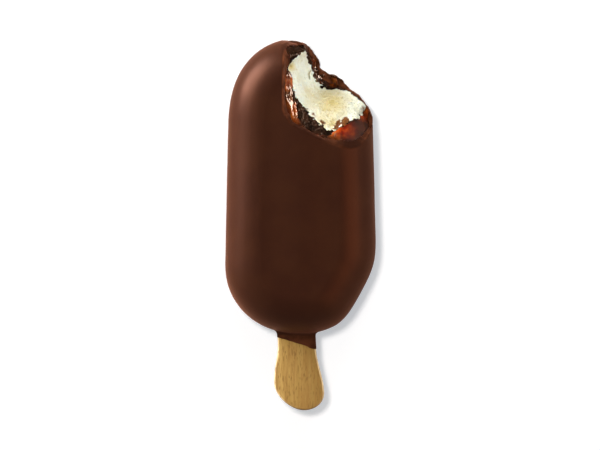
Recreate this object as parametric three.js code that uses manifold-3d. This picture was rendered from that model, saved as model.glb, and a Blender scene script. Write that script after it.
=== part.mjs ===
// A chocolate ice cream bar on a wooden stick, lying on its back, with one upper corner bitten off.
// Millimetres. x runs across the bar, y from the stick to the tip and z up, out of the face that is shown.
// Under the outer chocolate lie caramel, a thin dark chocolate and vanilla ice cream, each its own solid.
import * as THREE from "three";
import { mergeVertices } from "three/addons/utils/BufferGeometryUtils.js";
import Module from "manifold-3d";

// The bar: a slab whose edge is one full round, with its lowest point at y = 0.
const LENGTH = 96.4;
const THICKNESS = 25;
const CROWN = 0.5; // rise of the shown face between its edge and its middle
const CROWN_SHARES = [0.4, 0.8]; // rings of the crown, from its edge to the bar's middle line
const MID_HEIGHT = THICKNESS / 2;

// The ends of the plan outline are quarters of superellipses.
const TIP = { halfWidth: 23.6, height: 28.3, exponent: 2.25 };
const LEFT_CORNER = { halfWidth: 24.65, height: 23.3, exponent: 2.15 };
const RIGHT_CORNER = {
  halfWidth: 24.65,
  height: 31.1,
  exponent: 2.26,
  flat: { depth: 0.051, angle: 0.637, span: 0.494 }, // the corner is a little cut off there
};

// Depth below the outer surface at which each food starts and ends.
const DEPTHS = {
  chocolate_coat: [0, 1.2],
  caramel_layer: [1.5, 2.7],
  dark_chocolate_layer: [3.0, 3.5],
  ice_cream: [3.8, THICKNESS],
};
const ICE_CREAM_DEPTH = 3.65; // where the bite meets the ice cream

// The stick: a flat blade with a waisted paddle, tilted in the plane of the bar.
const STICK = {
  thickness: 2.2,
  neckHalfWidth: 6.19,
  paddleHalfWidth: 8.08,
  paddleEnd: 7.07, // length of the rounded end
  endExponent: 1.87,
  neckStart: 21.6, // where the waist turns straight, from the paddle's end
  waistPull: 0.4, // share of the waist over which its curve leaves straight
  length: 79,
  skew: -0.232, // the paddle's end is cut askew
  tilt: 0.054,
  endX: -0.04,
  endY: -24.94,
  bevel: 0.35,
};
const CLEARANCE = 0.25; // round the stick
const FILM = 0.35; // chocolate that ran down the stick
const FILM_EDGE = { left: -1.2, right: -5.1, halfWidth: 9, insideBar: 6 };

// The bite, as sections across it from the corner near the tip round to the right edge.
// Each runs from the broken front rim to the broken back rim. The two shares say how much of it is
// coating before and beyond the ice cream. The first and the last section lie just outside the bar.
const BITE = [
  { front: [-5.2, 97.4], back: [-4.9, 97.4], shares: [0.5, 0.55] },
  { front: [-4.9, 95.9], back: [-4.5, 96.1], shares: [0.5, 0.55] },
  { front: [-5.5, 92.3], back: [0.6, 95.1], shares: [0.6, 0.65] },
  { front: [-5.5, 90.0], back: [3.1, 92.8], shares: [0.76, 0.82] },
  { front: [-5.5, 88.1], back: [4.2, 91.1], shares: [0.31, 0.77] },
  { front: [-5.5, 86.1], back: [5.4, 89.2], shares: [0.14, 0.75] },
  { front: [-5.5, 83.8], back: [6.4, 87.2], shares: [0.21, 0.75] },
  { front: [-5.6, 78.9], back: [9.0, 84.7], shares: [0.22, 0.69] },
  { front: [-5.5, 72.9], back: [12.6, 83.3], shares: [0.27, 0.71] },
  { front: [-4.4, 70.3], back: [14.2, 81.5], shares: [0.29, 0.86] },
  { front: [-2.5, 67.8], back: [15.8, 79.8], shares: [0.3, 0.95] },
  { front: [3.8, 64.4], back: [18.5, 78.0], shares: [0.24, 0.95] },
  { front: [7.4, 62.8], back: [19.4, 76.8], shares: [0.25, 0.94] },
  { front: [11.3, 61.3], back: [20.4, 75.7], shares: [0.46, 0.93] },
  { front: [15.5, 60.3], back: [21.2, 74.6], shares: [0.71, 0.91] },
  { front: [19.1, 61.1], back: [22.1, 73.4], shares: [0.7, 0.8] },
  { front: [21.5, 63.7], back: [22.7, 72.1], shares: [0.5, 0.6] },
  { front: [23.0, 66.5], back: [23.3, 70.8], shares: [0.45, 0.55] },
  { front: [23.9, 68.8], back: [24.0, 69.3], shares: [0.45, 0.55] },
  { front: [25.4, 69.0], back: [25.4, 69.4], shares: [0.45, 0.55] },
];
const BITE_CENTRE = new THREE.Vector2(-5, 60); // the bite opens away from here
const BITE_REACH = 60;
const BITE_TOP = 40;
const BITE_FLOOR = -10;
// How the broken coating falls away: share of its width, from the rim, and share of its depth.
const FRONT_WALL = [
  [0, 0],
  [0.2, 0.37],
  [0.7, 0.78],
  [1, 1],
];
const BACK_WALL = [
  [0, 0],
  [0.5, 0.37],
  [0.75, 0.78],
  [1, 1],
];
const BOWL = 1.2; // over 1 hollows the bitten ice cream
const CRAG = 0.45; // height of the bitten ice cream's lumps
const CHIP = 0.12; // height of the broken coating's lumps

// Fineness of the solids.
const OUTER = { columns: 80, arcSteps: 12 };
const INNER = { columns: 48, arcSteps: 8 };
const LOOKUP_COLUMNS = 360;
const BITE_STEPS = { along: 60, iceCream: 6 };
const STICK_STEPS = { waist: 8, top: 12, end: 20 };

const COLOURS = {
  chocolate_coat: 0x3a2018,
  caramel_layer: 0x9a4a12,
  dark_chocolate_layer: 0x2c1710,
  ice_cream: 0xe9dfc0,
  stick: 0xb08b4e,
};

// A quarter of a superellipse, from the bar's side to its end, or back.
class EndQuarter extends THREE.Curve {
  constructor(end, side, baseY, up, backwards) {
    super();
    Object.assign(this, { end, side, baseY, up, backwards });
  }

  getPoint(t) {
    const turn = ((this.backwards ? 1 - t : t) * Math.PI) / 2;
    const across = Math.cos(turn) ** (2 / this.end.exponent);
    const along = Math.sin(turn) ** (2 / this.end.exponent);
    const size = 1 - this.cutOff(Math.atan2(along, across));
    const x = this.side * this.end.halfWidth * across * size;
    return new THREE.Vector2(x, this.baseY + this.up * this.end.height * along * size);
  }

  cutOff(angle) {
    const flat = this.end.flat;
    if (!flat || Math.abs(angle - flat.angle) > flat.span) return 0;
    return flat.depth * Math.cos(((angle - flat.angle) / flat.span) * (Math.PI / 2)) ** 2;
  }
}

// The bar's plan outline, counter-clockwise from the right side.
function barOutline(columns) {
  const tipBase = LENGTH - TIP.height;
  const leftSide = [
    new THREE.Vector2(-TIP.halfWidth, tipBase),
    new THREE.Vector2(-LEFT_CORNER.halfWidth, LEFT_CORNER.height),
  ];
  const rightSide = [
    new THREE.Vector2(RIGHT_CORNER.halfWidth, RIGHT_CORNER.height),
    new THREE.Vector2(TIP.halfWidth, tipBase),
  ];
  const path = new THREE.CurvePath();
  path.add(new THREE.LineCurve(...rightSide));
  path.add(new EndQuarter(TIP, 1, tipBase, 1, false));
  path.add(new EndQuarter(TIP, -1, tipBase, 1, true));
  path.add(new THREE.LineCurve(...leftSide));
  path.add(new EndQuarter(LEFT_CORNER, -1, LEFT_CORNER.height, -1, false));
  path.add(new EndQuarter(RIGHT_CORNER, 1, RIGHT_CORNER.height, -1, true));
  return path.getSpacedPoints(columns).slice(0, columns);
}

// The closed outline moved inwards by a distance, or outwards where it is negative.
function inset(outline, distance) {
  return outline.map((point, i) => {
    const next = outline[(i + 1) % outline.length];
    const previous = outline[(i + outline.length - 1) % outline.length];
    const along = next.clone().sub(previous).normalize();
    return new THREE.Vector2(point.x - along.y * distance, point.y + along.x * distance);
  });
}

function atHeight(outline, z) {
  return outline.map((point) => new THREE.Vector3(point.x, point.y, z));
}

function middleOf(ring) {
  const sum = ring.reduce((total, point) => total.add(point), new THREE.Vector3());
  return sum.divideScalar(ring.length);
}

// A closed surface through rings of equally many points, with a fan of faces over either end.
function loft(rings) {
  const columns = rings[0].length;
  const last = (rings.length - 1) * columns;
  const startMiddle = rings.length * columns;
  const index = [];
  for (let c = 0; c < columns; c++) {
    const beside = (c + 1) % columns;
    for (let r = 0; r < last; r += columns) {
      index.push(r + c, r + beside, r + beside + columns);
      index.push(r + c, r + beside + columns, r + c + columns);
    }
    index.push(startMiddle, beside, c);
    index.push(startMiddle + 1, last + c, last + beside);
  }
  const points = [...rings.flat(), middleOf(rings[0]), middleOf(rings.at(-1))];
  const positions = points.flatMap((point) => point.toArray());
  const geometry = new THREE.BufferGeometry();
  geometry.setAttribute("position", new THREE.Float32BufferAttribute(positions, 3));
  geometry.setIndex(index);
  return geometry;
}

const wasm = await Module();
wasm.setup();

function manifoldOf(vertProperties, triVerts) {
  return new wasm.Manifold(new wasm.Mesh({ numProp: 3, vertProperties, triVerts }));
}

function solidOf(geometry) {
  const merged = mergeVertices(geometry, 1e-4);
  const vertices = merged.attributes.position.array;
  const faces = new Uint32Array(merged.index.array);
  const solid = manifoldOf(vertices, faces);
  return solid.volume() > 0 ? solid : manifoldOf(vertices, faces.reverse());
}

// The bar's surface moved inwards by a depth: a round edge between a flat back and a crowned face.
function barRings(depth, { columns, arcSteps }) {
  const outline = barOutline(columns);
  const radius = MID_HEIGHT - depth;
  const rings = [];
  for (let step = 0; step <= arcSteps; step++) {
    const angle = Math.PI * (step / arcSteps - 0.5);
    const z = MID_HEIGHT + radius * Math.sin(angle);
    rings.push(atHeight(inset(outline, MID_HEIGHT - radius * Math.cos(angle)), z));
  }
  for (const share of CROWN_SHARES) rings.push(crownRing(rings[arcSteps], share));
  return rings;
}

// A ring of the crowned face, part of the way from its edge to the bar's middle line.
function crownRing(edge, share) {
  const rise = CROWN * (1 - (1 - share) ** 2);
  return edge.map((point) => {
    const middleY = THREE.MathUtils.clamp(point.y, THICKNESS, LENGTH - THICKNESS);
    const moved = point.clone().lerp(new THREE.Vector3(0, middleY, point.z), share);
    return moved.setZ(point.z + rise);
  });
}

const insetLookup = barOutline(LOOKUP_COLUMNS);

// Distance from a plan point to the outline, negative outside it.
function insetAt(point) {
  let nearest = Infinity;
  let side = 1;
  insetLookup.forEach((from, i) => {
    const to = insetLookup[(i + 1) % insetLookup.length];
    const distance = from.distanceTo(point);
    if (distance >= nearest) return;
    nearest = distance;
    side = Math.sign(to.clone().sub(from).cross(point.clone().sub(from))) || 1;
  });
  return nearest * side;
}

// Height of the surface at a depth, over a plan point: of its face (side 1) or its back (side -1).
function surfaceHeight(point, depth, side) {
  const radius = MID_HEIGHT - depth;
  const inwards = insetAt(point);
  const pastEdge = THREE.MathUtils.clamp(inwards / MID_HEIGHT - 1, 0, 1);
  const toEdge = Math.max(0, MID_HEIGHT - inwards);
  const round = Math.sqrt(Math.max(0, radius ** 2 - toEdge ** 2));
  return MID_HEIGHT + side * round + (side > 0 ? CROWN * pastEdge : 0);
}

function splineThrough(key) {
  return new THREE.SplineCurve(BITE.map((section) => new THREE.Vector2(...section[key])));
}

const biteFront = splineThrough("front");
const biteBack = splineThrough("back");
const biteShares = splineThrough("shares");

// Lumps of the bitten surface, from -1.5 to 1.5.
function lumps({ x, y }) {
  const broad = Math.sin(0.55 * x + 0.35 * y) * Math.cos(0.4 * x - 0.62 * y + 1.1);
  const fine = Math.sin(1.7 * x - 0.9 * y) * Math.cos(1.2 * x + 1.6 * y + 0.5);
  return broad + 0.5 * fine;
}

// The broken coating of one section, from the rim (share from) to the ice cream (share to).
function brokenWall(wall, side, from, to, pointAt) {
  return wall.map(([across, down]) => {
    const point = pointAt(THREE.MathUtils.lerp(from, to, across));
    const height = surfaceHeight(point, down * ICE_CREAM_DEPTH, side);
    const chip = CHIP * lumps(point) * Math.sin(Math.PI * across);
    return new THREE.Vector3(point.x, point.y, height + chip);
  });
}

// The bitten ice cream of one section, between the ends of its broken walls.
function bittenFood(top, foot) {
  const points = [];
  for (let i = 1; i < BITE_STEPS.iceCream; i++) {
    const share = i / BITE_STEPS.iceCream;
    const point = top.clone().lerp(foot, share);
    const height = THREE.MathUtils.lerp(foot.z, top.z, (1 - share) ** BOWL);
    points.push(point.setZ(height + CRAG * lumps(point) * Math.sin(Math.PI * share)));
  }
  return points;
}

// One section of the bitten-off volume: down the front rim, over the bitten surface and away.
function biteSection(t) {
  const front = biteFront.getPoint(t);
  const back = biteBack.getPoint(t);
  const shares = biteShares.getPoint(t);
  const pointAt = (share) => front.clone().lerp(back, share);
  const frontWall = brokenWall(FRONT_WALL, 1, 0, shares.x, pointAt);
  const backWall = brokenWall(BACK_WALL, -1, 1, shares.y, pointAt).reverse();
  const outwards = back.clone().sub(BITE_CENTRE).setLength(BITE_REACH).add(back);
  return [
    new THREE.Vector3(front.x, front.y, BITE_TOP),
    ...frontWall,
    ...bittenFood(frontWall.at(-1), backWall[0]),
    ...backWall,
    new THREE.Vector3(back.x, back.y, BITE_FLOOR),
    new THREE.Vector3(outwards.x, outwards.y, BITE_FLOOR),
    new THREE.Vector3(outwards.x, outwards.y, BITE_TOP),
  ];
}

function bittenOff() {
  const sections = [];
  for (let i = 0; i <= BITE_STEPS.along; i++) sections.push(biteSection(i / BITE_STEPS.along));
  return solidOf(loft(sections));
}

// The stick's outline in the bar's plan, counter-clockwise from the right of the paddle.
function stickOutline() {
  const { neckHalfWidth: neck, paddleHalfWidth: paddle, paddleEnd, neckStart } = STICK;
  const pull = (neckStart - paddleEnd) * STICK.waistPull;
  const waist = new THREE.CubicBezierCurve(
    new THREE.Vector2(paddle, paddleEnd),
    new THREE.Vector2(paddle, paddleEnd + pull),
    new THREE.Vector2(neck, neckStart - pull),
    new THREE.Vector2(neck, neckStart),
  );
  const rightSide = waist.getPoints(STICK_STEPS.waist);
  rightSide.push(new THREE.Vector2(neck, STICK.length - neck));
  const leftSide = rightSide.map((point) => new THREE.Vector2(-point.x, point.y)).reverse();
  const top = endArc(neck, neck, 2, STICK_STEPS.top)
    .map((point) => new THREE.Vector2(point.x, STICK.length - neck + point.y));
  const end = endArc(paddle, paddleEnd, STICK.endExponent, STICK_STEPS.end)
    .map((point) => new THREE.Vector2(-point.x, paddleEnd - point.y));
  return [...rightSide, ...top, ...leftSide, ...end].map(placeOnStick);
}

// Half a superellipse from right to left over the origin, without its two lowest points.
function endArc(halfWidth, height, exponent, steps) {
  const points = [];
  for (let i = 1; i < steps; i++) {
    const turn = (Math.PI * i) / steps;
    const across = Math.sign(Math.cos(turn)) * Math.abs(Math.cos(turn)) ** (2 / exponent);
    const along = Math.sin(turn) ** (2 / exponent);
    points.push(new THREE.Vector2(halfWidth * across, height * along));
  }
  return points;
}

function placeOnStick(point) {
  const askew = new THREE.Vector2(point.x, point.y + STICK.skew * point.x);
  return askew
    .rotateAround(new THREE.Vector2(), STICK.tilt)
    .add(new THREE.Vector2(STICK.endX, STICK.endY));
}

// The stick as a solid, grown on every side by a margin, with its edges bevelled.
function stickSolid(margin, bevel) {
  const outline = stickOutline();
  const half = STICK.thickness / 2 + margin;
  const levels = [
    [bevel, -half],
    [0, bevel - half],
    [0, half - bevel],
    [bevel, half],
  ];
  const rings = levels
    .filter((level, i) => bevel > 0 || i % 3 === 0)
    .map(([inwards, z]) => atHeight(inset(outline, inwards - margin), MID_HEIGHT + z));
  return solidOf(loft(rings));
}

// The chocolate that ran down the stick, as far as its slanted lower edge.
function stickFilm() {
  const { left, right, halfWidth, insideBar } = FILM_EDGE;
  const band = [
    new THREE.Vector2(-halfWidth, left),
    new THREE.Vector2(halfWidth, right),
    new THREE.Vector2(halfWidth, insideBar),
    new THREE.Vector2(-halfWidth, insideBar),
  ];
  const region = solidOf(loft([atHeight(band, 0), atHeight(band, THICKNESS)]));
  return stickSolid(CLEARANCE + FILM, STICK.bevel).intersect(region);
}

const bite = bittenOff();
const stickSlot = stickSolid(CLEARANCE, 0);

// One food: what lies between two depths, less the bite and the room for the stick.
function foodSolid(name) {
  const [start, end] = DEPTHS[name];
  const isCoat = start === 0;
  let solid = solidOf(loft(barRings(start, isCoat ? OUTER : INNER)));
  if (isCoat) solid = solid.add(stickFilm());
  if (end < MID_HEIGHT) solid = solid.subtract(solidOf(loft(barRings(end, INNER))));
  return solid.subtract(bite).subtract(stickSlot);
}

function meshOf(name, solid, roughness) {
  const { vertProperties, triVerts } = solid.getMesh();
  const geometry = new THREE.BufferGeometry();
  geometry.setAttribute("position", new THREE.BufferAttribute(vertProperties, 3));
  geometry.setIndex(new THREE.BufferAttribute(triVerts, 1));
  geometry.computeVertexNormals();
  const look = { color: COLOURS[name], roughness, metalness: 0 };
  const mesh = new THREE.Mesh(geometry, new THREE.MeshStandardMaterial(look));
  mesh.name = name;
  return mesh;
}

const iceCreamBar = new THREE.Group();
iceCreamBar.add(
  meshOf("chocolate_coat", foodSolid("chocolate_coat"), 0.35),
  meshOf("caramel_layer", foodSolid("caramel_layer"), 0.15),
  meshOf("dark_chocolate_layer", foodSolid("dark_chocolate_layer"), 0.4),
  meshOf("ice_cream", foodSolid("ice_cream"), 0.6),
  meshOf("stick", stickSolid(0, STICK.bevel), 0.7),
);

// The origin is the middle of the whole bar's footprint, on the surface that it lies on.
const footprint = new THREE.Box3().setFromObject(iceCreamBar);
const middle = footprint.getCenter(new THREE.Vector3());
iceCreamBar.position.set(-middle.x, -middle.y, -footprint.min.z);

export default iceCreamBar;
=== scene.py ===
"""A chocolate ice cream bar with one corner bitten off: its foods, stick, floor, light and camera.

The foods are carved from distance fields, in millimetres, in the bar's own frame: x across the bar,
y from its lower end to its tip, z up from the back that it lies on. Blender's objects are in metres.
"""
import math
import bpy
import numpy as np
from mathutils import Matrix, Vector


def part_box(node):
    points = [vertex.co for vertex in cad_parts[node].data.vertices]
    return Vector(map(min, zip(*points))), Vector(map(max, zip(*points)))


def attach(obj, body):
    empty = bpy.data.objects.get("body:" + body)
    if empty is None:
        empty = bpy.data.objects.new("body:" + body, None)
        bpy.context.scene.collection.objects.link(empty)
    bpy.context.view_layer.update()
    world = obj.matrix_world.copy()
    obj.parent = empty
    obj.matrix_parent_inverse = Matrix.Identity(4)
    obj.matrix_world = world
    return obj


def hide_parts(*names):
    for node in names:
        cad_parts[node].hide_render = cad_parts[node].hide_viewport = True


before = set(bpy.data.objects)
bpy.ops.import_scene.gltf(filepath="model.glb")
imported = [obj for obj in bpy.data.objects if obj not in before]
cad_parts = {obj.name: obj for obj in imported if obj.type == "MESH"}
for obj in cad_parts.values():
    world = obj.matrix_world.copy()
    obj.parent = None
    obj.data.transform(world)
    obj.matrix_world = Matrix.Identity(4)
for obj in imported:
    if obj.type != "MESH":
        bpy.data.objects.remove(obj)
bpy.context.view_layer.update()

# The bar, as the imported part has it, but for the stick's edges, which are rounded a little more.
LENGTH = 96.4
THICKNESS = 25.0
MID_HEIGHT = THICKNESS / 2
CROWN = 0.5
TIP = dict(half_width=23.6, height=28.3, exponent=2.25)
LEFT_CORNER = dict(half_width=24.65, height=23.3, exponent=2.15)
RIGHT_CORNER = dict(half_width=24.65, height=31.1, exponent=2.26, flat=(0.051, 0.637, 0.494))
STICK = dict(
    thickness=2.2, neck=6.19, paddle=8.08, paddle_end=7.07, exponent=1.87, neck_start=21.6,
    pull=0.4, length=79.0, skew=-0.232, tilt=0.054, end=(-0.04, -24.94), rounding=0.55,
)

# Where each food starts, as a depth below the bar's surface, and the least thickness of the caramel
# and of caramel and dark chocolate together.
CARAMEL_DEPTH = 1.35
DARK_DEPTH = 2.85
ICE_CREAM_DEPTH = 3.65
LEAST_CARAMEL = 0.12
LEAST_LAYERS = 0.4

# Sections across the bite, from the corner near the tip round to the right edge: x and y of the front
# rim, x and y of the back rim, and the shares of the way across where the ice cream starts and ends.
BITE = np.array([
    (-4.9, 97.6, -4.6, 97.6, 0.5, 0.55),
    (-4.3, 96.1, -3.9, 96.15, 0.8, 0.85),
    (-3.9, 95.5, -2.9, 95.95, 0.8, 0.85),
    (-4.2, 94.5, -1.2, 95.6, 0.84, 0.88),
    (-5.1, 92.2, 1.2, 94.6, 0.82, 0.85),
    (-5.45, 90.0, 3.1, 92.8, 0.77, 0.79),
    (-5.5, 88.1, 4.2, 91.1, 0.34, 0.77),
    (-5.5, 86.1, 5.4, 89.2, 0.14, 0.75),
    (-5.5, 83.8, 6.4, 87.2, 0.21, 0.75),
    (-5.6, 78.9, 9.0, 84.7, 0.22, 0.69),
    (-5.5, 72.9, 12.6, 83.3, 0.27, 0.71),
    (-4.4, 70.3, 14.2, 81.5, 0.29, 0.86),
    (-2.5, 67.8, 15.8, 79.8, 0.3, 0.95),
    (3.8, 64.4, 18.5, 78.0, 0.24, 0.95),
    (7.4, 62.8, 19.4, 76.8, 0.24, 0.94),
    (11.3, 61.3, 20.4, 75.7, 0.56, 0.95),
    (15.5, 60.3, 21.2, 74.6, 0.81, 0.95),
    (19.1, 61.1, 22.1, 73.4, 0.88, 0.93),
    (21.5, 63.7, 22.7, 72.1, 0.86, 0.93),
    (23.0, 66.5, 23.3, 70.8, 0.8, 0.9),
    (23.9, 68.8, 24.0, 69.3, 0.6, 0.7),
    (25.4, 69.0, 25.4, 69.4, 0.5, 0.6),
])

# How the broken coating falls away at the front and at the back: shares of its width and of its depth.
FRONT_WALL = ((0, 0.2, 0.7, 1), (0, 0.37, 0.78, 1))
BACK_WALL = ((0, 0.5, 0.75, 1), (0, 0.37, 0.78, 1))

# The power that hollows the ice cream, and how far the back rim is worn away.
BOWL = 1.05
FAR_WEAR = 0.5

# The shares by which the bite is shallower to the right, by the front rim's x, and towards the tip, by
# the front rim's y, and how far and how steeply the bitten surface runs on past its rims.
SHALLOW_RIGHT = dict(start=14.0, span=9.0, height=0.45)
SHALLOW_TIP = dict(start=90.0, span=4.5, height=0.5)
RUN_ON = dict(reach=3.0, slope=3.0)

# The chocolate film on the stick: its thickness, where its edge crosses 9 mm left and right of the
# middle, and a drip. It meets the coat in a fillet.
FILM = 0.12
FILM_EDGE = dict(left=-0.8, right=-6.2, half_width=9.0)
FILM_DRIP = (((3.6, -4.6), 2.0, 0.4),)
FILM_FILLET = 1.2

# Pits in the middle of the ice cream, and a crack at its far edge.
PITS = dict(count=26, centre=(9.3, 75.5), spread=(7.5, 6.0), radius=(0.2, 0.45), depth=(0.1, 0.4))
CRACK = dict(path=((3.3, 86.2), (2.75, 85.1), (2.9, 83.4)), depth=0.8, width=0.22)

# From here on a soft round spot in the plan is given as its centre, radius and strength, or as its
# centre and radius alone where it is used with strengths of its own.

# Where the coat is thicker at the bite, or thinner, and where its rim is rounded over more.
THICK_COAT = (
    ((-5.6, 87.6), 4.8, 2.4), ((-0.5, 95.3), 4.5, 1.1), ((-3.9, 91.8), 3.5, -0.6),
    ((4.3, 89.0), 2.4, -0.9), ((11.0, 83.2), 2.8, -0.8),
)
ROUND_RIM = (((-4.0, 95.0), 7.0, 2.0),)

# Where the dark chocolate is thicker, where there is none, where the ice cream starts deeper, and what
# share of all the coating is missing at the ice cream's right end.
THICK_DARK = (((-1.5, 91.5), 7.0, 1.4), ((-3.8, 93.4), 4.5, 2.4), ((3.8, 67.0), 11.0, 1.3))
NO_DARK = (((-4.5, 81.5), 5.5, 1.0), ((17.5, 66.0), 9.5, 1.0), ((21.0, 71.5), 6.0, 1.0))
DEEPER = (((0.3, 94.3), 3.0, 1.0),)
THINNER = (((21.0, 75.5), 5.5, 0.5),)

# Where the bitten surface is evened out.
EVEN = (((16.0, 73.5), 5.5, 0.5), ((16.5, 65.0), 6.0, 0.5), ((6.6, 87.0), 2.0, 0.5))

# The large smooth lump of caramel at the right end, where the caramel is dry, where it has no strands,
# where it stands in beads, and how far it stands proud of the bite outside that lump.
SMOOTH_LUMP = ((17.5, 67.0), 10.0)
DRY = ((*SMOOTH_LUMP, 2.0), ((-4.2, 82.0), 4.5, 0.5))
SMOOTH = ((*SMOOTH_LUMP, 1.0), ((-4.0, 74.2), 3.0, 0.9))
BEADS = (((-4.6, 73.8), 2.8, 0.6), ((12.0, 66.0), 3.5, 0.4))
CARAMEL_PROUD = 0.12

# Lumps of the coat and of both layers on the bite's far side, where the coat is curled, and how far it
# stands up there between the lumps.
FAR_LUMPS = (
    ((4.6, 89.6), 2.4, 0.3), ((7.6, 85.0), 1.6, 0.9), ((10.9, 84.2), 1.9, 1.4), ((12.0, 82.8), 2.0, 0.5),
    ((5.6, 86.4), 1.2, 0.5),
)
CURLS = ((6.0, 83.5), 4.0)
FAR_RISE = 0.4

# The coat's rim where it isn't torn, and where its broken edge is darkened by painted shade.
UNTORN = (((-2.6, 95.6), 5.5, 1.0),)
PAINTED_SHADE = (((3.0, 66.0), 13.0, 1.5), ((16.5, 61.5), 8.0, 1.2))

# Where the caramel shows a painted glow, standing in for light that comes through it.
PAINTED_GLOW_SPOTS = (
    ((-3.9, 81.4), 3.6, 1.3), ((-1.9, 74.5), 4.0, 0.9), ((-1.2, 70.5), 3.5, 0.7), ((11.9, 66.2), 4.5, 1.4),
    ((15.5, 66.3), 4.2, 0.85), ((20.3, 71.7), 3.4, 1.1), ((4.4, 89.2), 2.2, 0.9), ((11.0, 82.8), 2.4, 0.6),
)

# Where the ice cream is smeared with chocolate and caramel, but for the last spot, at the bite's left
# corner, which is painted shade.
# Where painted shade makes it yellower: in its hollow middle, at that corner and where it is lit most.
# Where painted shade makes it less bright.
SMEARS_AND_PAINTED_SHADE = (
    ((13.1, 68.2), 2.3, 3.0), ((14.7, 69.6), 1.7, 2.6), ((11.3, 67.2), 1.6, 2.0), ((14.6, 68.2), 1.8, 2.2),
    ((7.3, 68.9), 1.8, 0.9), ((4.2, 71.2), 1.5, 0.9), ((2.4, 72.8), 1.3, 0.8), ((20.2, 73.6), 1.4, 0.8),
    ((-3.4, 87.3), 1.5, 0.5),
)
PAINTED_SHADE_YELLOW = (
    ((11.0, 76.0), 7.5, 0.9), ((4.5, 77.0), 7.0, 0.4), ((7.5, 69.5), 5.0, 0.5), ((-3.2, 87.0), 2.4, 0.9),
    ((13.0, 71.5), 3.5, 0.4), ((10.8, 68.2), 3.0, 0.6),
)
PAINTED_SHADE_ON_ICE = (((18.0, 74.5), 6.5, 0.4), ((13.8, 70.5), 4.0, 0.4), ((18.2, 72.5), 5.0, 0.5))


# ---------------------------------------------------------------- plan outlines

def end_quarter(end, side, base_y, up, steps=240):
    """A quarter of a superellipse, from the bar's side to its end. It may have a flattened stretch."""
    turn = np.linspace(0, math.pi / 2, steps)
    across = np.cos(turn).clip(0) ** (2 / end["exponent"])
    along = np.sin(turn) ** (2 / end["exponent"])
    depth, angle, span = end.get("flat", (0, 0, 1))
    off = (np.arctan2(along, across) - angle) / span
    size = 1 - depth * np.where(abs(off) < 1, np.cos(off * math.pi / 2) ** 2, 0)
    x = side * end["half_width"] * across * size
    return np.stack([x, base_y + up * end["height"] * along * size], 1)


def evenly_spaced(points, count):
    """A closed line through the points, with its corners a fixed distance apart."""
    closed = np.vstack([points, points[:1]])
    run = np.concatenate([[0], np.cumsum(np.hypot(*np.diff(closed, axis=0).T))])
    stops = np.arange(count) * run[-1] / count
    return np.stack([np.interp(stops, run, closed[:, k]) for k in (0, 1)], 1)


def bar_outline():
    tip_base = LENGTH - TIP["height"]
    return evenly_spaced(np.vstack([
        end_quarter(TIP, 1, tip_base, 1),
        end_quarter(TIP, -1, tip_base, 1)[::-1],
        end_quarter(LEFT_CORNER, -1, LEFT_CORNER["height"], -1),
        end_quarter(RIGHT_CORNER, 1, RIGHT_CORNER["height"], -1)[::-1],
    ]), 900)


def stick_outline():
    """The stick's outline in the bar's plan, counter-clockwise from the right of the paddle."""
    neck, paddle, base, start = (STICK[k] for k in ("neck", "paddle", "paddle_end", "neck_start"))
    pull = (start - base) * STICK["pull"]
    t = np.linspace(0, 1, 40)[:, None]
    corners = np.array([(paddle, base), (paddle, base + pull), (neck, start - pull), (neck, start)])
    weights = ((1 - t) ** 3, 3 * (1 - t) ** 2 * t, 3 * (1 - t) * t * t, t ** 3)
    right = sum(w * corner for w, corner in zip(weights, corners))
    left = right[::-1] * (-1, 1)
    turn = np.linspace(0, math.pi, 80)
    top = np.stack([neck * np.cos(turn), STICK["length"] - neck + neck * np.sin(turn)], 1)
    power = 2 / STICK["exponent"]
    across = np.sign(np.cos(turn)) * abs(np.cos(turn)) ** power
    end = np.stack([-paddle * across, base - base * np.sin(turn).clip(0) ** power], 1)
    points = evenly_spaced(np.vstack([right, top, left, end]), 400)
    points[:, 1] += STICK["skew"] * points[:, 0]
    c, s = math.cos(STICK["tilt"]), math.sin(STICK["tilt"])
    return points @ np.array([[c, s], [-s, c]]) + STICK["end"]


def squared_distance(x, y, start, end):
    """Square of the distance from plan points to a straight line between two ends."""
    ex, ey = end[0] - start[0], end[1] - start[1]
    t = (((x - start[0]) * ex + (y - start[1]) * ey) / (ex * ex + ey * ey)).clip(0, 1)
    return (x - start[0] - t * ex) ** 2 + (y - start[1] - t * ey) ** 2


def distance_inside(outline, x, y):
    """Distance from plan points to a closed outline, positive inside it."""
    nearest = np.full(x.shape, np.inf)
    inside = np.zeros(x.shape, bool)
    for a, b in zip(outline, np.roll(outline, -1, axis=0)):
        nearest = np.minimum(nearest, squared_distance(x, y, a, b))
        if a[1] != b[1]:
            crossed_at = (b[0] - a[0]) * (y - a[1]) / (b[1] - a[1]) + a[0]
            inside ^= ((a[1] > y) != (b[1] > y)) & (x < crossed_at)
    return np.sqrt(nearest) * np.where(inside, 1, -1)


class Raster:
    """Values on an even plan grid, read between its points."""

    def __init__(self, low, high, step):
        self.low, self.high, self.step = np.array(low, float), high, step
        self.x = np.arange(low[0], high[0] + step / 2, step)
        self.y = np.arange(low[1], high[1] + step / 2, step)
        self.values = None

    def grid(self):
        return np.meshgrid(self.x, self.y, indexing="ij")

    def __call__(self, x, y):
        i = ((x - self.low[0]) / self.step).clip(0, len(self.x) - 1.001)
        j = ((y - self.low[1]) / self.step).clip(0, len(self.y) - 1.001)
        i0, j0 = i.astype(np.int32), j.astype(np.int32)
        i, j = i - i0, j - j0
        v = self.values
        near = v[i0, j0] * (1 - i) + v[i0 + 1, j0] * i
        far = v[i0, j0 + 1] * (1 - i) + v[i0 + 1, j0 + 1] * i
        return near * (1 - j) + far * j


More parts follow.
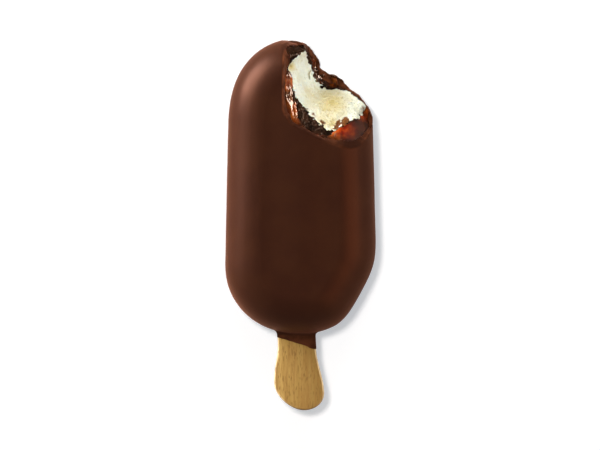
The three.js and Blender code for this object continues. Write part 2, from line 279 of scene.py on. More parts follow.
def inset_raster(outline, step=0.25, margin=4.0):
    raster = Raster(outline.min(0) - margin, outline.max(0) + margin, step)
    raster.values = distance_inside(outline, *raster.grid())
    return raster


# ---------------------------------------------------------------- soft steps, spots and lumps

def rising(value, start, span, height=1.0):
    """0 up to the start, from there rising smoothly to the height over the span."""
    share = ((value - start) / span).clip(0, 1)
    return height * share * share * (3 - 2 * share)


def smooth_max(a, b, width):
    """The larger value, rounded where the two are within a width of each other."""
    h = (width - abs(a - b)).clip(0)
    return np.maximum(a, b) + h * h / (4 * width)


def smooth_min(a, b, width):
    return -smooth_max(-a, -b, width)


def patch(x, y, centre, radius):
    """A soft round patch in the plan: 1 at its centre, 0 past its radius."""
    away = np.hypot(x - centre[0], y - centre[1])
    return rising(-away, -radius, radius)


def spots(x, y, places):
    """The sum of the spots."""
    return sum(strength * patch(x, y, centre, radius) for centre, radius, strength in places)


def strongest(x, y, places):
    """The strongest of the spots at each point."""
    all_spots = [strength * patch(x, y, centre, radius) for centre, radius, strength in places]
    return np.maximum.reduce(all_spots)


class Noise:
    """Smooth seeded noise from -1 to 1, with lumps of about the given size."""
    SIZE = 32

    def __init__(self, seed, lump, stretch=(1, 1, 1)):
        self.values = np.random.default_rng(seed).uniform(-1, 1, (self.SIZE,) * 3)
        self.scale = 1 / (lump * np.array(stretch, float))

    def __call__(self, x, y, z):
        cells, shares = [], []
        for axis, value in enumerate((x, y, z)):
            value = value * self.scale[axis]
            cell = np.floor(value)
            share = value - cell
            cells.append(cell.astype(np.int32) % self.SIZE)
            shares.append(share ** 3 * (share * (share * 6 - 15) + 10))
        total = 0
        for steps in np.ndindex(2, 2, 2):
            corner = tuple((cell + step) % self.SIZE for cell, step in zip(cells, steps))
            weight = 1
            for share, step in zip(shares, steps):
                weight = weight * (share if step else 1 - share)
            total = total + weight * self.values[corner]
        return total


LUMPS = dict(
    waves=Noise(1, 13.0), ripples=Noise(2, 4.5), crags=Noise(3, 3.2), chips=Noise(4, 1.3),
    crumbs=Noise(5, 0.6), strands=Noise(6, 0.7, stretch=(1, 4, 1)),
)


def relief(x, y, z, **heights):
    """How uneven a food is at a point, from the height of each kind of lump."""
    return sum(height * LUMPS[kind](x, y, z) for kind, height in heights.items())


# ---------------------------------------------------------------- the bar and the bite

inset = inset_raster(bar_outline())
stick_inset = inset_raster(stick_outline())


def crown_at(inwards):
    return rising(inwards, MID_HEIGHT, MID_HEIGHT, CROWN)


def depth_at(x, y, z):
    """Depth below the bar's surface, negative outside it. The back that it lies on is even."""
    inwards = inset(x, y)
    level = z - MID_HEIGHT - crown_at(inwards) * ((z - MID_HEIGHT) / MID_HEIGHT).clip(0, 1)
    depth = MID_HEIGHT - np.hypot((MID_HEIGHT - inwards).clip(0), level)
    return depth + relief(x, y, z, waves=0.1, ripples=0.02) * rising(z, start=0.0, span=4.0)


def surface_height(x, y, depth, side):
    """Height of the surface at a depth: of the bar's face (side 1) or its back (side -1)."""
    inwards = inset(x, y)
    radius = MID_HEIGHT - depth
    round_part = np.sqrt((radius ** 2 - (MID_HEIGHT - inwards).clip(0) ** 2).clip(0))
    return MID_HEIGHT + side * round_part + (crown_at(inwards) if side > 0 else 0)


def spline(points, t):
    """Catmull-Rom curve through the rows of points, for t from 0 to 1."""
    place = t * (len(points) - 1)
    i = place.astype(int).clip(0, len(points) - 2)
    s = (place - i)[:, None]
    p0, p1 = points[(i - 1).clip(0)], points[i]
    p2, p3 = points[i + 1], points[(i + 2).clip(max=len(points) - 1)]
    v0, v1 = (p2 - p0) / 2, (p3 - p1) / 2
    return (2 * p1 - 2 * p2 + v0 + v1) * s ** 3 + (-3 * p1 + 3 * p2 - 2 * v0 - v1) * s ** 2 + v0 * s + p1


def bitten_surface(along, across):
    """Points of the bitten surface, in steps along the bite and across it, and their shares across it.

    It runs on past both rims: steeply up before the front one and steeply down after the back one.
    """
    rows = spline(BITE, np.linspace(0, 1, along))
    front, back = rows[:, None, 0:2], rows[:, None, 2:4]
    before, beyond = rows[:, 4:5], rows[:, 5:6]
    width = np.hypot(*(back - front)[:, 0].T)[:, None]
    back = back + FAR_WEAR * (back - front) / width.clip(5.0)[:, :, None]
    reach = RUN_ON["reach"] / width.clip(1.0)
    share = -reach + (1 + 2 * reach) * np.linspace(0, 1, across)[None, :]
    kept = share.clip(0, 1)
    spot = front + (back - front) * share[:, :, None]
    held = front + (back - front) * kept[:, :, None]
    x, y = held[..., 0], held[..., 1]
    shallow = rising(rows[:, 0:1], **SHALLOW_RIGHT) + rising(rows[:, 1:2], **SHALLOW_TIP)
    deep = ICE_CREAM_DEPTH * (1 - shallow)
    front_depth = deep * np.interp(kept / before, *FRONT_WALL)
    back_depth = deep * np.interp((1 - kept) / (1 - beyond), *BACK_WALL)
    top = surface_height(x, y, front_depth, 1)
    foot = surface_height(x, y, back_depth, -1)
    food_top = np.take_along_axis(top, np.argmin(abs(kept - before), 1)[:, None], 1)
    food_foot = np.take_along_axis(foot, np.argmin(abs(kept - beyond), 1)[:, None], 1)
    down = ((kept - before) / (beyond - before)).clip(0, 1)
    food = food_foot + (food_top - food_foot) * (1 - down) ** BOWL
    height = np.where(kept < before, top, np.where(kept > beyond, foot, food))
    height = height - RUN_ON["slope"] * width * (share - kept)
    return spot[..., 0], spot[..., 1], height, kept


def gathered(x, y, values, before, past, fill_rounds=6):
    """The values over the plan, with other ones where nothing is bitten and past the bitten surface."""
    raster = Raster(low=(-13.0, 52.0), high=(31.0, 103.0), step=0.125)
    shape = (len(raster.x), len(raster.y))
    i = ((x - raster.low[0]) / raster.step).round().astype(int)
    j = ((y - raster.low[1]) / raster.step).round().astype(int)
    held = (i >= 0) & (j >= 0) & (i < shape[0]) & (j < shape[1])
    cell = (i * shape[1] + j)[held]
    count = np.bincount(cell, minlength=shape[0] * shape[1]).reshape(shape)
    total = np.bincount(cell, values[held], minlength=shape[0] * shape[1]).reshape(shape)
    known = count > 0
    means = np.where(known, total / count.clip(1), 0)
    for _ in range(fill_rounds):
        means, known = spread(means, known)
    right, top = 60.0, 140.0
    outer_corners = [(right, BITE[-1, 1]), (right, top), (BITE[0, 0], top)]
    bitten = distance_inside(np.vstack([BITE[:, 0:2], outer_corners]), *raster.grid()) > 0
    raster.values = np.where(known, means, np.where(bitten, past, before))
    return raster


def spread(values, known):
    """Fills the unknown cells beside known ones with those neighbours' mean."""
    total = np.zeros_like(values)
    count = np.zeros_like(values)
    for axis in (0, 1):
        for step in (-1, 1):
            near = np.roll(known, step, axis)
            total += np.where(near, np.roll(values, step, axis), 0)
            count += near
    fill = ~known & (count > 0)
    return np.where(fill, total / count.clip(1), values), known | fill


def evened(raster, places, rounds=150):
    """The raster with its values evened out at some spots."""
    share = strongest(*raster.grid(), places)
    for _ in range(rounds):
        around = sum(np.roll(raster.values, step, axis) for axis in (0, 1) for step in (-1, 1)) / 4
        raster.values = raster.values + share * (around - raster.values)
    return raster


def slope_raster(heights, steepest=15):
    """How much less than its height difference a point's distance to the bitten surface is."""
    raster = Raster(heights.low, heights.high, heights.step)
    dx, dy = np.gradient(heights.values, heights.step)
    raster.values = 1 / np.sqrt(1 + (dx ** 2 + dy ** 2).clip(max=steepest))
    return raster


def carving_raster():
    """How deep the pits and the crack in the ice cream are, over the plan."""
    raster = Raster(low=(-6.0, 62.0), high=(24.0, 94.0), step=0.1)
    gx, gy = raster.grid()
    raster.values = np.zeros(gx.shape)
    random = np.random.default_rng(11)
    for _ in range(PITS["count"]):
        angle, reach = random.uniform(0, 2 * math.pi), math.sqrt(random.uniform())
        x = PITS["centre"][0] + PITS["spread"][0] * reach * math.cos(angle)
        y = PITS["centre"][1] + PITS["spread"][1] * reach * math.sin(angle)
        radius, pit = random.uniform(*PITS["radius"]), random.uniform(*PITS["depth"])
        raster.values += pit * np.exp(-((gx - x) ** 2 + (gy - y) ** 2) / radius ** 2)
    path = CRACK["path"]
    away = np.minimum.reduce([squared_distance(gx, gy, a, b) for a, b in zip(path[:-1], path[1:])])
    raster.values = np.maximum(raster.values, CRACK["depth"] * np.exp(-away / CRACK["width"] ** 2))
    return raster


bite_x, bite_y, bite_z, bite_shares = bitten_surface(along=2600, across=700)
bite_height = evened(gathered(bite_x, bite_y, bite_z, before=70.0, past=-40.0), EVEN)
bite_share = gathered(bite_x, bite_y, bite_shares, before=0.0, past=1.0)
bite_slope = slope_raster(bite_height)
carving = carving_raster()


def bitten_at(x, y, z, most=6):
    """How far outside the bitten surface a point lies: positive where the food is gone."""
    return ((z - bite_height(x, y)) * bite_slope(x, y)).clip(-most, most)


def far_side(x, y):
    """0 on the front of the bite and where it leaves the bar, and 1 on its far side."""
    return rising(bite_share(x, y), start=0.45, span=0.2) * rising(x, start=-2.5, span=4.0)


# ---------------------------------------------------------------- the four foods as fields

def stick_at(x, y, z):
    """Distance outside the stick."""
    return np.maximum(-stick_inset(x, y), abs(z - MID_HEIGHT) - STICK["thickness"] / 2)


def film_at(x, y, z):
    """Distance outside the chocolate that ran down the stick, whose lower edge slants."""
    left, right, half_width = (FILM_EDGE[k] for k in ("left", "right", "half_width"))
    edge = left + (right - left) * (x + half_width) / (2 * half_width)
    return smooth_max(stick_at(x, y, z) - FILM, edge - spots(x, y, FILM_DRIP) - y, width=0.25)


def thinned(x, y):
    """What is left of the coating's thickness."""
    return 1 - spots(x, y, THINNER)


def caramel_start(x, y):
    """Depth at which the coat ends."""
    return (CARAMEL_DEPTH + spots(x, y, THICK_COAT)) * thinned(x, y)


def dark_start(x, y, z):
    """Depth at which the caramel ends."""
    gone = (ICE_CREAM_DEPTH - DARK_DEPTH) * strongest(x, y, NO_DARK)
    start = (DARK_DEPTH - strongest(x, y, THICK_DARK) + gone) * thinned(x, y)
    return np.maximum(start + relief(x, y, z, chips=0.15), caramel_start(x, y) + LEAST_CARAMEL)


def ice_cream_start(x, y, z):
    """Depth at which the dark chocolate ends."""
    start = ICE_CREAM_DEPTH * thinned(x, y) + relief(x, y, z, chips=0.25, crumbs=0.45)
    return np.maximum(start, caramel_start(x, y) + LEAST_LAYERS) + spots(x, y, DEEPER)


def chocolate_coat(x, y, z, depth, bitten):
    """The coat: its rim is rounded at the front of the bite and stands in lumps on its far side."""
    far = far_side(x, y)
    curled = patch(x, y, *CURLS) * relief(x, y, z, chips=0.25, crumbs=0.4)
    raised = FAR_RISE + spots(x, y, FAR_LUMPS) + relief(x, y, z, chips=0.16, crumbs=0.22) + curled
    uneven = relief(x, y, z, chips=0.14, crumbs=0.05) * (1 - patch(x, y, *SMOOTH_LUMP))
    rounding = 0.2 + 0.3 * (1 - far) + spots(x, y, ROUND_RIM)
    whole = smooth_min(-depth, film_at(x, y, z), FILM_FILLET)
    body = smooth_max(whole, bitten + uneven - far * raised, rounding)
    return np.maximum(body, depth - caramel_start(x, y))


def caramel_layer(x, y, z, depth, bitten):
    """The caramel stands a little proud of the bite and has run along it in strands."""
    shell = np.maximum(caramel_start(x, y) - depth, depth - dark_start(x, y, z))
    uneven = relief(x, y, z, crags=0.15, chips=0.1, strands=0.14) * (1 - spots(x, y, SMOOTH))
    proud = CARAMEL_PROUD * (1 - patch(x, y, *SMOOTH_LUMP)) + uneven + spots(x, y, BEADS)
    return smooth_max(shell, bitten - proud - far_side(x, y) * spots(x, y, FAR_LUMPS), width=0.3)


def dark_chocolate_layer(x, y, z, depth, bitten):
    shell = np.maximum(dark_start(x, y, z) - depth, depth - ice_cream_start(x, y, z))
    uneven = relief(x, y, z, chips=0.13, crumbs=0.08)
    return smooth_max(shell, bitten + uneven - far_side(x, y) * spots(x, y, FAR_LUMPS), width=0.12)


def ice_cream(x, y, z, depth, bitten):
    core = np.maximum(ice_cream_start(x, y, z) - depth, -stick_at(x, y, z))
    rough = relief(x, y, z, crags=0.12, chips=0.16, crumbs=0.14)
    return smooth_max(core, bitten + rough + carving(x, y), width=0.15)


# ---------------------------------------------------------------- meshes from fields

FINE, COARSE = 0.25, 0.9
SLAB = 16


def grid_lines(low, high, fine_spans):
    """Positions along one axis: closely spaced in the fine spans, widely elsewhere."""
    lines = [low]
    while lines[-1] < high:
        fine = any(a - COARSE <= lines[-1] <= b for a, b in fine_spans)
        lines.append(lines[-1] + (FINE if fine else COARSE))
    return np.array(lines)


# The grid is fine round the bite and round the film's edge.
GRID = (
    grid_lines(-26.2, 26.2, [(-8.5, 25.5)]),
    grid_lines(-8.0, 98.0, [(-7.0, 2.0), (58.0, 97.5)]),
    grid_lines(-1.0, 27.0, [(2.0, 26.2)]),
)


def field_at(food, x, y, z):
    return food(x, y, z, depth_at(x, y, z), bitten_at(x, y, z))


def sampled(foods):
    """Each food's field on the grid, worked out one slab of it at a time."""
    xs, ys, zs = GRID
    slabs = {food: [] for food in foods}
    for start in range(0, len(xs), SLAB):
        x, y, z = np.meshgrid(xs[start:start + SLAB], ys, zs, indexing="ij")
        depth, bitten = depth_at(x, y, z), bitten_at(x, y, z)
        for food in foods:
            slabs[food].append(food(x, y, z, depth, bitten).astype(np.float32))
    return {food: np.concatenate(parts) for food, parts in slabs.items()}


def surface_net(values):
    """Vertices (in grid units) and quads of the surface where the values change sign."""
    shape = values.shape
    inside = values < 0
    sums, cells_of = [], []
    for axis in range(3):
        low = [slice(None)] * 3
        high = [slice(None)] * 3
        low[axis], high[axis] = slice(0, -1), slice(1, None)
        a, b = values[tuple(low)], values[tuple(high)]
        crossing = np.argwhere(inside[tuple(low)] != inside[tuple(high)])
        others = [k for k in range(3) if k != axis]
        keep = np.all([(crossing[:, k] > 0) & (crossing[:, k] < shape[k] - 1) for k in others], 0)
        crossing = crossing[keep]
        va, vb = a[tuple(crossing.T)], b[tuple(crossing.T)]
        spot = crossing.astype(float)
        spot[:, axis] += va / (va - vb)
        around = []
        for du, dv in ((-1, -1), (0, -1), (0, 0), (-1, 0)):
            cell = crossing.copy()
            cell[:, others[0]] += du
            cell[:, others[1]] += dv
            around.append(np.ravel_multi_index(tuple(cell.T), shape))
        quad = np.stack(around, 1)
        flip = (va < 0) != (axis == 1)
        quad[~flip] = quad[~flip][:, ::-1]
        cells_of.append(quad)
        sums.append(np.repeat(spot[:, None], 4, 1).reshape(-1, 3))
    cells = [quad.reshape(-1) for quad in cells_of]
    # A quad's corners were reordered with its direction, but all four share its crossing point.
    used, index = np.unique(np.concatenate(cells), return_inverse=True)
    crossings = np.concatenate(sums)
    count = np.bincount(index, minlength=len(used))
    vertices = np.stack([np.bincount(index, crossings[:, k]) / count for k in range(3)], 1)
    return vertices, index.reshape(-1, 4)


def on_grid(places, lines):
    return np.interp(places, np.arange(len(lines)), lines)


def settled(food, vertices, rounds=2, step=0.05, least_slope=0.2, most=0.3 * FINE):
    """Moves the vertices along the field's gradient onto the surface itself."""
    for _ in range(rounds):
        value = field_at(food, *vertices.T)
        gradient = np.zeros_like(vertices)
        for axis in range(3):
            ahead = vertices.copy()
            ahead[:, axis] += step
            gradient[:, axis] = (field_at(food, *ahead.T) - value) / step
        slope = (gradient ** 2).sum(1).clip(least_slope)
        vertices = vertices + (-(value / slope)[:, None] * gradient).clip(-most, most)
    return vertices


# Where the part's frame has its origin, in the bar's frame.
stick_low = stick_outline().min(0)
stick_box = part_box("stick")
SHIFT = np.array([
    stick_low[0] - stick_box[0].x * 1000,
    stick_low[1] - stick_box[0].y * 1000,
    0.0,
])


def in_part_frame(points):
    """From the bar's frame in millimetres to the part's in metres."""
    return (points - SHIFT) / 1000


def in_scene(name, data):
    """A new object in the scene, for a mesh, a light or a camera."""
    thing = bpy.data.objects.new(name, data)
    bpy.context.scene.collection.objects.link(thing)
    return thing


def mesh_object(name, vertices, faces):
    mesh = bpy.data.meshes.new(name)
    mesh.from_pydata(in_part_frame(vertices).tolist(), [], [list(f) for f in faces])
    mesh.validate()
    mesh.polygons.foreach_set("use_smooth", [True] * len(mesh.polygons))
    mesh.update()
    return in_scene(name, mesh)


def store(piece, name, values):
    """Keeps a number for each vertex, for the materials to read."""
    attribute = piece.data.attributes.new(name, "FLOAT", "POINT")
    attribute.data.foreach_set("value", np.asarray(values, np.float32))


def food_piece(food, field, name):
    """One food's mesh, with the tones that its material reads."""
    vertices, quads = surface_net(field)
    places = np.stack([on_grid(vertices[:, k], GRID[k]) for k in range(3)], 1)
    places = settled(food, places)
    piece = mesh_object(name, places, quads.tolist())
    for tone, values in TONES.get(food, {}).items():
        store(piece, tone, values(*places.T))
    return piece


def broken_and_painted_light(x, y, z):
    """Where the coat has the tone of broken chocolate: wholly where it is torn, and partly on the thin
    film on the stick, where it is painted light that lightens the film in the bar's shadow.
    """
    torn = rising(bitten_at(x, y, z), start=-0.6, span=0.5) * (1 - spots(x, y, UNTORN))
    # Painted light: the film just below the bar is lightened towards the tone of broken chocolate.
    painted_film_light = rising(-y, start=0.0, span=0.8, height=0.45)
    return np.maximum(torn, painted_film_light)


def painted_glow(x, y, z):
    """How much painted glow the caramel shows: 1 where it stands in for light coming through it, 0 where
    it is dark syrup.
    """
    uneven = relief(x, y, z, chips=0.4, strands=0.7) * (1 - 0.8 * patch(x, y, *SMOOTH_LUMP))
    return (spots(x, y, PAINTED_GLOW_SPOTS) * (0.85 + uneven)).clip(0, 1)


def smear_and_painted_shade(x, y, z):
    """How brown the ice cream is, where chocolate and caramel are smeared on it, and, as painted shade, in
    its pits.
    """
    smeared = spots(x, y, SMEARS_AND_PAINTED_SHADE) * (1 + relief(x, y, z, crumbs=0.7, chips=0.5))
    painted_pit_shade = 0.25 * carving(x, y)
    return rising(smeared, start=0.25, span=0.8) + painted_pit_shade


def yellow_and_painted_shade(x, y, z):
    """How yellow the ice cream is: a little at random, and more as painted shade in its hollow middle, at
    the bite's left corner and in its pits; its ends are nearly white.
    """
    painted_pit_shade = 0.8 * carving(x, y)
    return (spots(x, y, PAINTED_SHADE_YELLOW) + relief(x, y, z, crags=0.2, chips=0.15) + painted_pit_shade).clip(0, 1)


def spotted(places):
    """A tone that is made of spots alone."""
    return lambda x, y, z: spots(x, y, places).clip(0, 1)


TONES = {
    chocolate_coat: {"broken_and_painted_light": broken_and_painted_light, "painted_shade": spotted(PAINTED_SHADE)},
    caramel_layer: {"painted_glow": painted_glow, "dry": spotted(DRY), "smooth": spotted(SMOOTH)},
    ice_cream: {"smear_and_painted_shade": smear_and_painted_shade, "yellow_and_painted_shade": yellow_and_painted_shade, "painted_ice_shade": spotted(PAINTED_SHADE_ON_ICE)},
}


# ---------------------------------------------------------------- the stick

def ring_inset(outline, distance):
    """The outline moved inwards by a distance."""
    along = np.roll(outline, -1, axis=0) - np.roll(outline, 1, axis=0)
    along /= np.hypot(*along.T)[:, None]
    return outline + distance * np.stack([-along[:, 1], along[:, 0]], 1)


def stick_piece(name):
    """The stick's mesh: rings from its lower face round its edge to its upper face, and both faces."""
    outline = stick_outline()
    rounding, half = STICK["rounding"], STICK["thickness"] / 2
    turns = np.radians(np.linspace(-90, 90, 13))
    rings = []
    for turn in turns:
        level = math.copysign(half - rounding, turn) if abs(turn) > 1e-6 else 0
        ring = ring_inset(outline, rounding * (1 - math.cos(turn)))
        height = MID_HEIGHT + level + rounding * math.sin(turn)
        rings.append(np.column_stack([ring, np.full(len(ring), height)]))
    columns = len(outline)
    faces = []
    for r in range(len(rings) - 1):
        for c in range(columns):
            beside = (c + 1) % columns
            here, above = r * columns, (r + 1) * columns
            faces.append((here + c, here + beside, above + beside, above + c))
    faces.append(tuple(range(columns))[::-1])
    faces.append(tuple((len(rings) - 1) * columns + c for c in range(columns)))
    vertices = np.vstack(rings)
    piece = mesh_object(name, vertices, faces)
    # A painted highlight on the rounded edge, faded out at the paddle's end, and painted shade that
    # darkens the stick towards the right.
    edge = np.repeat(np.cos(turns) ** 0.5, columns)
    store(piece, "side", edge * rising(vertices[:, 1], start=-25.0, span=6.0))
    store(piece, "across", rising(vertices[:, 0], start=-7.0, span=12.0))
    for flat in (-1, -2):
        piece.data.polygons[flat].use_smooth = False
    return piece


# ---------------------------------------------------------------- materials

def srgb(red, green, blue):
    """A colour given as its three 0 to 255 values on a screen."""
    def linear(value):
        value /= 255
        return value / 12.92 if value <= 0.04045 else ((value + 0.055) / 1.055) ** 2.4
    return (linear(red), linear(green), linear(blue), 1.0)


class Nodes:
    """The nodes of a material or world, with one method for each kind of node that is used here."""

    def __init__(self, owner, shader):
        owner.use_nodes = True
        self.owner = owner
        self.tree = owner.node_tree
        self.shader = self.tree.nodes[shader]

    def add(self, kind, **inputs):
        node = self.tree.nodes.new(kind)
        for key, value in inputs.items():
            self.put(node, key.replace("_", " "), value)
        return node

    def put(self, node, key, value):
        socket = node.inputs[int(key)] if key.isdigit() else node.inputs[key]
        if isinstance(value, bpy.types.NodeSocket):
            self.tree.links.new(value, socket)
        else:
            socket.default_value = value

    def set(self, **inputs):
        for key, value in inputs.items():
            self.put(self.shader, key.replace("_", " "), value)

    def position(self):
        return self.add("ShaderNodeTexCoord").outputs["Object"]

    def attribute(self, name):
        node = self.add("ShaderNodeAttribute")
        node.attribute_name = name
        return node.outputs["Fac"]

    def scaled(self, vector, scale, turn=0.0):
        node = self.add("ShaderNodeMapping", Vector=vector, Scale=scale)
        node.inputs["Rotation"].default_value = (0, 0, turn)
        return node.outputs["Vector"]

    def noise(self, vector, scale, detail=3.0, roughness=0.5):
        node = self.add("ShaderNodeTexNoise", Vector=vector, Scale=scale, Detail=detail)
        node.inputs["Roughness"].default_value = roughness
        return node.outputs["Fac"]

    def band(self, value, low, high, out_low=0.0, out_high=1.0):
        node = self.add("ShaderNodeMapRange", Value=value)
        node.interpolation_type = "SMOOTHSTEP"
        limits = {"From Min": low, "From Max": high, "To Min": out_low, "To Max": out_high}
        for key, number in limits.items():
            node.inputs[key].default_value = number
        return node.outputs["Result"]

    def maths(self, operation, a, b):
        node = self.add("ShaderNodeMath")
        node.operation = operation
        self.put(node, "0", a)
        self.put(node, "1", b)
        return node.outputs["Value"]

    def mix(self, share, a, b):
        node = self.add("ShaderNodeMix")
        node.data_type = "RGBA"
        self.put(node, "0", share)
        self.put(node, "6", a)
        self.put(node, "7", b)
        return node.outputs[2]

    def mottled(self, noise, a, b, low=0.35, high=0.65):
        """A mottle of two colours, the first where the noise is low and the second where it is high."""
        return self.mix(self.band(noise, low, high), a, b)

    def bump(self, height, strength, distance, normal=None):
        node = self.add("ShaderNodeBump", Height=height, Strength=strength, Distance=distance)
        if normal is not None:
            self.put(node, "Normal", normal)
        return node.outputs["Normal"]


def material_nodes(name):
    return Nodes(bpy.data.materials.new(name), "Principled BSDF")


def coat_material():
    m = material_nodes("milk_chocolate")
    place = m.position()
    streak = m.noise(m.scaled(place, (1.0, 0.12, 1.0)), scale=260, detail=2)
    whole = m.mottled(m.noise(place, scale=90, detail=4), srgb(37, 18, 11), srgb(41, 21, 12))
    torn = m.mottled(m.noise(place, scale=300), srgb(42, 21, 11), srgb(92, 51, 31), low=0.3, high=0.7)
    # Painted shade darkens the broken edge at some spots.
    shaded = m.mix(m.attribute("painted_shade"), torn, srgb(28, 12, 6))
    # The broken tone, which on the film on the stick is painted light.
    share = m.attribute("broken_and_painted_light")
    gloss = m.maths("MULTIPLY", share, 0.08)
    m.set(
        Base_Color=m.mix(share, whole, shaded),
        Roughness=m.maths("SUBTRACT", m.band(streak, 0.3, 0.7, out_low=0.38, out_high=0.42), gloss),
        IOR=1.29, Specular_Tint=(1.0, 0.42, 0.25, 1),
        Sheen_Weight=0.12, Sheen_Roughness=0.5, Sheen_Tint=(1.0, 0.35, 0.2, 1),
    )
    fine = m.bump(m.noise(place, scale=900), strength=0.2, distance=0.0001)
    m.set(Normal=m.bump(m.noise(place, scale=220, detail=2), strength=0.1, distance=0.0003, normal=fine))
    return m.owner


def caramel_material():
    m = material_nodes("caramel")
    place = m.position()
    dry = m.attribute("dry")
    # Painted glow: these light colours stand in for light coming through the caramel, redder where it is
    # dry.
    red = m.band(dry, 0.5, 1.0)
    low = m.mix(red, srgb(112, 42, 8), srgb(100, 18, 2))
    high = m.mix(red, srgb(164, 80, 22), srgb(150, 56, 8))
    syrup = m.mottled(m.noise(place, scale=320), srgb(30, 13, 7), srgb(58, 27, 14))
    glow = m.mottled(m.noise(place, scale=420), low, high)
    strings = m.noise(m.scaled(place, (1.0, 0.3, 1.0)), scale=1100, detail=2)
    strength = m.band(m.attribute("smooth"), 0.0, 1.0, out_low=1.0, out_high=0.12)
    drawn = m.maths("MULTIPLY", strings, strength)
    m.set(
        Base_Color=m.mix(m.attribute("painted_glow"), syrup, glow),
        Roughness=m.band(dry, 0.0, 1.0, out_low=0.1, out_high=0.6), IOR=1.45,
        Specular_Tint=m.mix(dry, (1.0, 0.72, 0.55, 1), (0.04, 0.01, 0.0, 1)),
        Subsurface_Weight=0.4, Subsurface_Radius=(1.0, 0.35, 0.08), Subsurface_Scale=0.0007,
        Normal=m.bump(drawn, strength=0.6, distance=0.0004),
    )
    return m.owner


def dark_material():
    m = material_nodes("dark_chocolate")
    place = m.position()
    mottle = m.noise(place, scale=500)
    m.set(
        Base_Color=m.mottled(mottle, srgb(14, 8, 5), srgb(36, 19, 10)),
        Roughness=m.band(mottle, 0.3, 0.7, out_low=0.2, out_high=0.36),
        IOR=1.22, Specular_Tint=(0.9, 0.55, 0.35, 1),
        Normal=m.bump(m.noise(place, scale=1400), strength=0.5, distance=0.0003),
    )
    return m.owner


def ice_cream_material():
    m = material_nodes("vanilla_ice_cream")
    place = m.position()
    white = m.mottled(m.noise(place, scale=140), srgb(221, 226, 211), srgb(230, 235, 220))
    # Painted shade: the ice cream is yellower in its hollows and pits.
    cream_with_painted_shade = m.mix(m.attribute("yellow_and_painted_shade"), white, srgb(210, 194, 132))
    flecks = m.band(m.noise(place, scale=900, detail=2), 0.62, 0.72, out_high=0.4)
    flecked = m.mix(flecks, cream_with_painted_shade, srgb(168, 150, 92))
    # Painted shade darkens the ice cream at some spots where it is lit most.
    with_painted_ice_shade = m.mix(m.attribute("painted_ice_shade"), flecked, srgb(176, 178, 160))
    m.set(
        Base_Color=m.mix(m.attribute("smear_and_painted_shade"), with_painted_ice_shade, srgb(98, 54, 9)),
        Roughness=0.5, IOR=1.35,
        Subsurface_Weight=0.6, Subsurface_Radius=(1.0, 0.8, 0.55), Subsurface_Scale=0.0005,
        Normal=m.bump(m.noise(place, scale=1300, detail=4, roughness=0.65), strength=0.9, distance=0.0007),
    )
    return m.owner


def wood_material():
    m = material_nodes("birch")
    along = m.scaled(m.position(), (1.0, 0.07, 1.0), -STICK["tilt"])
    short = m.scaled(m.position(), (1.0, 0.2, 1.0), -STICK["tilt"])
    grain = m.noise(along, scale=1500, detail=3, roughness=0.6)
    figure = m.noise(along, scale=420, detail=2)
    pale = m.mottled(figure, srgb(172, 141, 80), srgb(150, 119, 60), low=0.3, high=0.7)
    # Painted shade darkens the wood towards the right, and a painted highlight lightens its rounded edges.
    painted_shade_right = m.mix(m.attribute("across"), pale, srgb(126, 98, 46))
    painted_edge_highlight = m.mix(m.attribute("side"), painted_shade_right, srgb(228, 204, 160))
    lined = m.mix(m.band(grain, 0.4, 0.65, out_high=0.6), painted_edge_highlight, srgb(124, 88, 40))
    pores = m.band(m.noise(short, scale=2600, detail=1), 0.56, 0.68, out_high=0.6)
    m.set(
        Base_Color=m.mix(pores, lined, srgb(100, 70, 30)), Roughness=0.62, IOR=1.4,
        Normal=m.bump(grain, strength=0.35, distance=0.0002),
    )
    return m.owner


# ---------------------------------------------------------------- stage, light and camera

# The picture's width and scale in pixels, and the place at its centre, in the bar's frame.
IMAGE_WIDTH = 600
PIXELS_PER_MM = 3.06
VIEW_CENTRE = (-0.16, 35.46)

# The camera, in millimetres, and the stage, in metres.
LENS = 200.0
SENSOR = 36.0
SOFTBOX_DISTANCE = 0.8
FLOOR_HALF = 3.0


def add_floor():
    """A pale floor that gives off light towards the camera only. In reflections it shows a painted warm
    brown that is lighter on its left, standing in for the key's light, which the floor doesn't get.
    """
    corners = [(x * FLOOR_HALF, y * FLOOR_HALF, 0) for x, y in ((-1, -1), (1, -1), (1, 1), (-1, 1))]
    mesh = bpy.data.meshes.new("floor")
    mesh.from_pydata(corners, [], [(0, 1, 2, 3)])
    floor = in_scene("floor", mesh)
    m = material_nodes("pale_floor")
    ray = m.add("ShaderNodeLightPath").outputs
    to_right = m.add("ShaderNodeSeparateXYZ", Vector=m.position()).outputs["X"]
    # Painted reflection: darker and browner than the floor, and lighter on its left as if the key lit it.
    painted_reflection = m.mix(m.band(to_right, -0.02, 0.02), (0.8, 0.46, 0.31, 1), (0.42, 0.24, 0.16, 1))
    m.set(
        Base_Color=m.mix(ray["Is Glossy Ray"], (0.7, 0.67, 0.64, 1), painted_reflection),
        Roughness=0.95, Specular_IOR_Level=0.0,
        Emission_Color=(0.86, 0.93, 1, 1),
        Emission_Strength=m.maths("MULTIPLY", ray["Is Camera Ray"], 0.465),
    )
    mesh.materials.append(m.owner)
    return floor


def softbox(name, azimuth, elevation, size, radiance, colour=(1, 1, 1)):
    """A bright panel that faces the bar from the given direction, in degrees."""
    turn, rise = math.radians(azimuth), math.radians(elevation)
    away = Vector((math.cos(turn) * math.cos(rise), math.sin(turn) * math.cos(rise), math.sin(rise)))
    light = bpy.data.lights.new(name, "AREA")
    light.shape = "RECTANGLE"
    light.size, light.size_y = size
    light.energy = radiance * math.pi * size[0] * size[1]
    light.color = colour
    lamp = in_scene(name, light)
    lamp.location = away * SOFTBOX_DISTANCE
    lamp.rotation_euler = (-away).to_track_quat("-Z", "Y").to_euler()
    return lamp


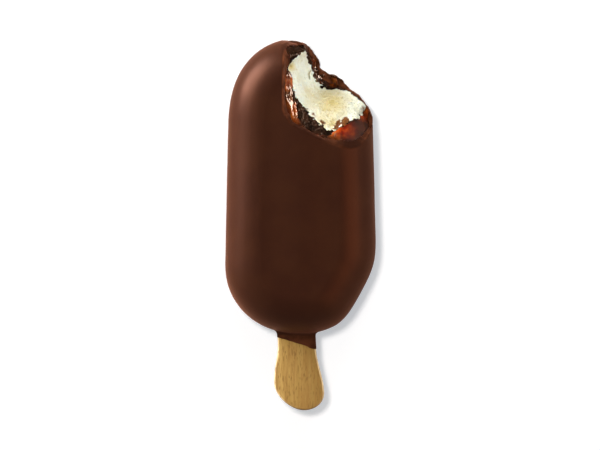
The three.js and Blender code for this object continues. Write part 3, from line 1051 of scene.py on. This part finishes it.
def add_world():
    """A warm white room that is dim overhead, so that the bar's face stays dark."""
    w = Nodes(bpy.data.worlds.new("studio"), "Background")
    towards = w.add("ShaderNodeTexCoord").outputs["Generated"]
    height = w.add("ShaderNodeSeparateXYZ", Vector=towards).outputs["Z"]
    w.set(Color=(1, 0.9, 0.83, 1), Strength=w.band(height, 0.62, 0.92, out_low=0.36, out_high=0.05))
    bpy.context.scene.world = w.owner


def add_camera():
    """A camera straight above the bar, far enough off for the face to fill its share of the picture."""
    camera = bpy.data.cameras.new("camera")
    camera.lens, camera.sensor_width = LENS, SENSOR
    camera.clip_end = 100
    body = in_scene("camera", camera)
    distance = IMAGE_WIDTH / PIXELS_PER_MM * LENS / SENSOR
    body.location = in_part_frame(np.array([*VIEW_CENTRE, MID_HEIGHT + distance])).tolist()
    bpy.context.scene.camera = body


def lights_only(lamp, pieces):
    """Keeps a softbox's light on the given pieces."""
    group = bpy.data.collections.new("lit_by_" + lamp.name)
    for piece in pieces:
        group.objects.link(piece)
    lamp.light_linking.receiver_collection = group


def add_studio(pieces):
    """The studio: floor, room and softboxes.

    Some softboxes light only some of the pieces or only the floor, some only shade what they light, and
    some are only mirrored in it.
    """
    floor = add_floor()
    add_world()
    key = softbox("key", 142, 17, size=(0.46, 0.47), radiance=24.5, colour=(1, 0.94, 0.9))
    softbox("left", 185, 12, size=(0.5, 0.3), radiance=1.2, colour=(1, 0.94, 0.9))
    top = softbox("top", 88, 30, size=(0.45, 0.5), radiance=2.2)
    right = softbox("right", 2, 14, size=(0.6, 0.4), radiance=5.5, colour=(1, 0.97, 0.94))
    above = softbox("above", 140, 79.3, size=(0.11, 0.11), radiance=92.0)
    drop = softbox("drop", 140, 79.3, size=(0.11, 0.11), radiance=22.0)
    wide = softbox("wide", 2, 42, size=(0.8, 0.6), radiance=3.2, colour=(1, 0.55, 0.3))
    glint = softbox("glint", 27, 19, size=(0.26, 0.36), radiance=34.0)
    rim = softbox("rim", 152, 3, size=(0.35, 0.12), radiance=40.0, colour=(1, 0.75, 0.65))
    for lamp in (key, right):
        lights_only(lamp, pieces.values())
    lights_only(drop, (floor,))
    lights_only(glint, (pieces["caramel_layer"], pieces["dark_chocolate_layer"]))
    for lamp in (top, right, above):
        lamp.visible_glossy = False
    for lamp in (wide, glint, rim):
        lamp.visible_diffuse = False
    bpy.context.scene.view_settings.view_transform = "Standard"


# ---------------------------------------------------------------- the object

def dress(piece, node, material):
    """The piece stands for the part's node of the same food and gets its look."""
    piece.data.materials.append(material)
    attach(piece, "root")
    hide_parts(node)
    return piece


FOODS = {
    chocolate_coat: ("coat_of_chocolate", "chocolate_coat", coat_material),
    caramel_layer: ("layer_of_caramel", "caramel_layer", caramel_material),
    dark_chocolate_layer: ("layer_of_dark_chocolate", "dark_chocolate_layer", dark_material),
    ice_cream: ("core_of_ice_cream", "ice_cream", ice_cream_material),
}
fields = sampled(list(FOODS))
pieces = {"stick": dress(stick_piece("wooden_stick"), "stick", wood_material())}
for food, (name, node, material) in FOODS.items():
    pieces[node] = dress(food_piece(food, fields[food], name), node, material())
add_studio(pieces)
add_camera()
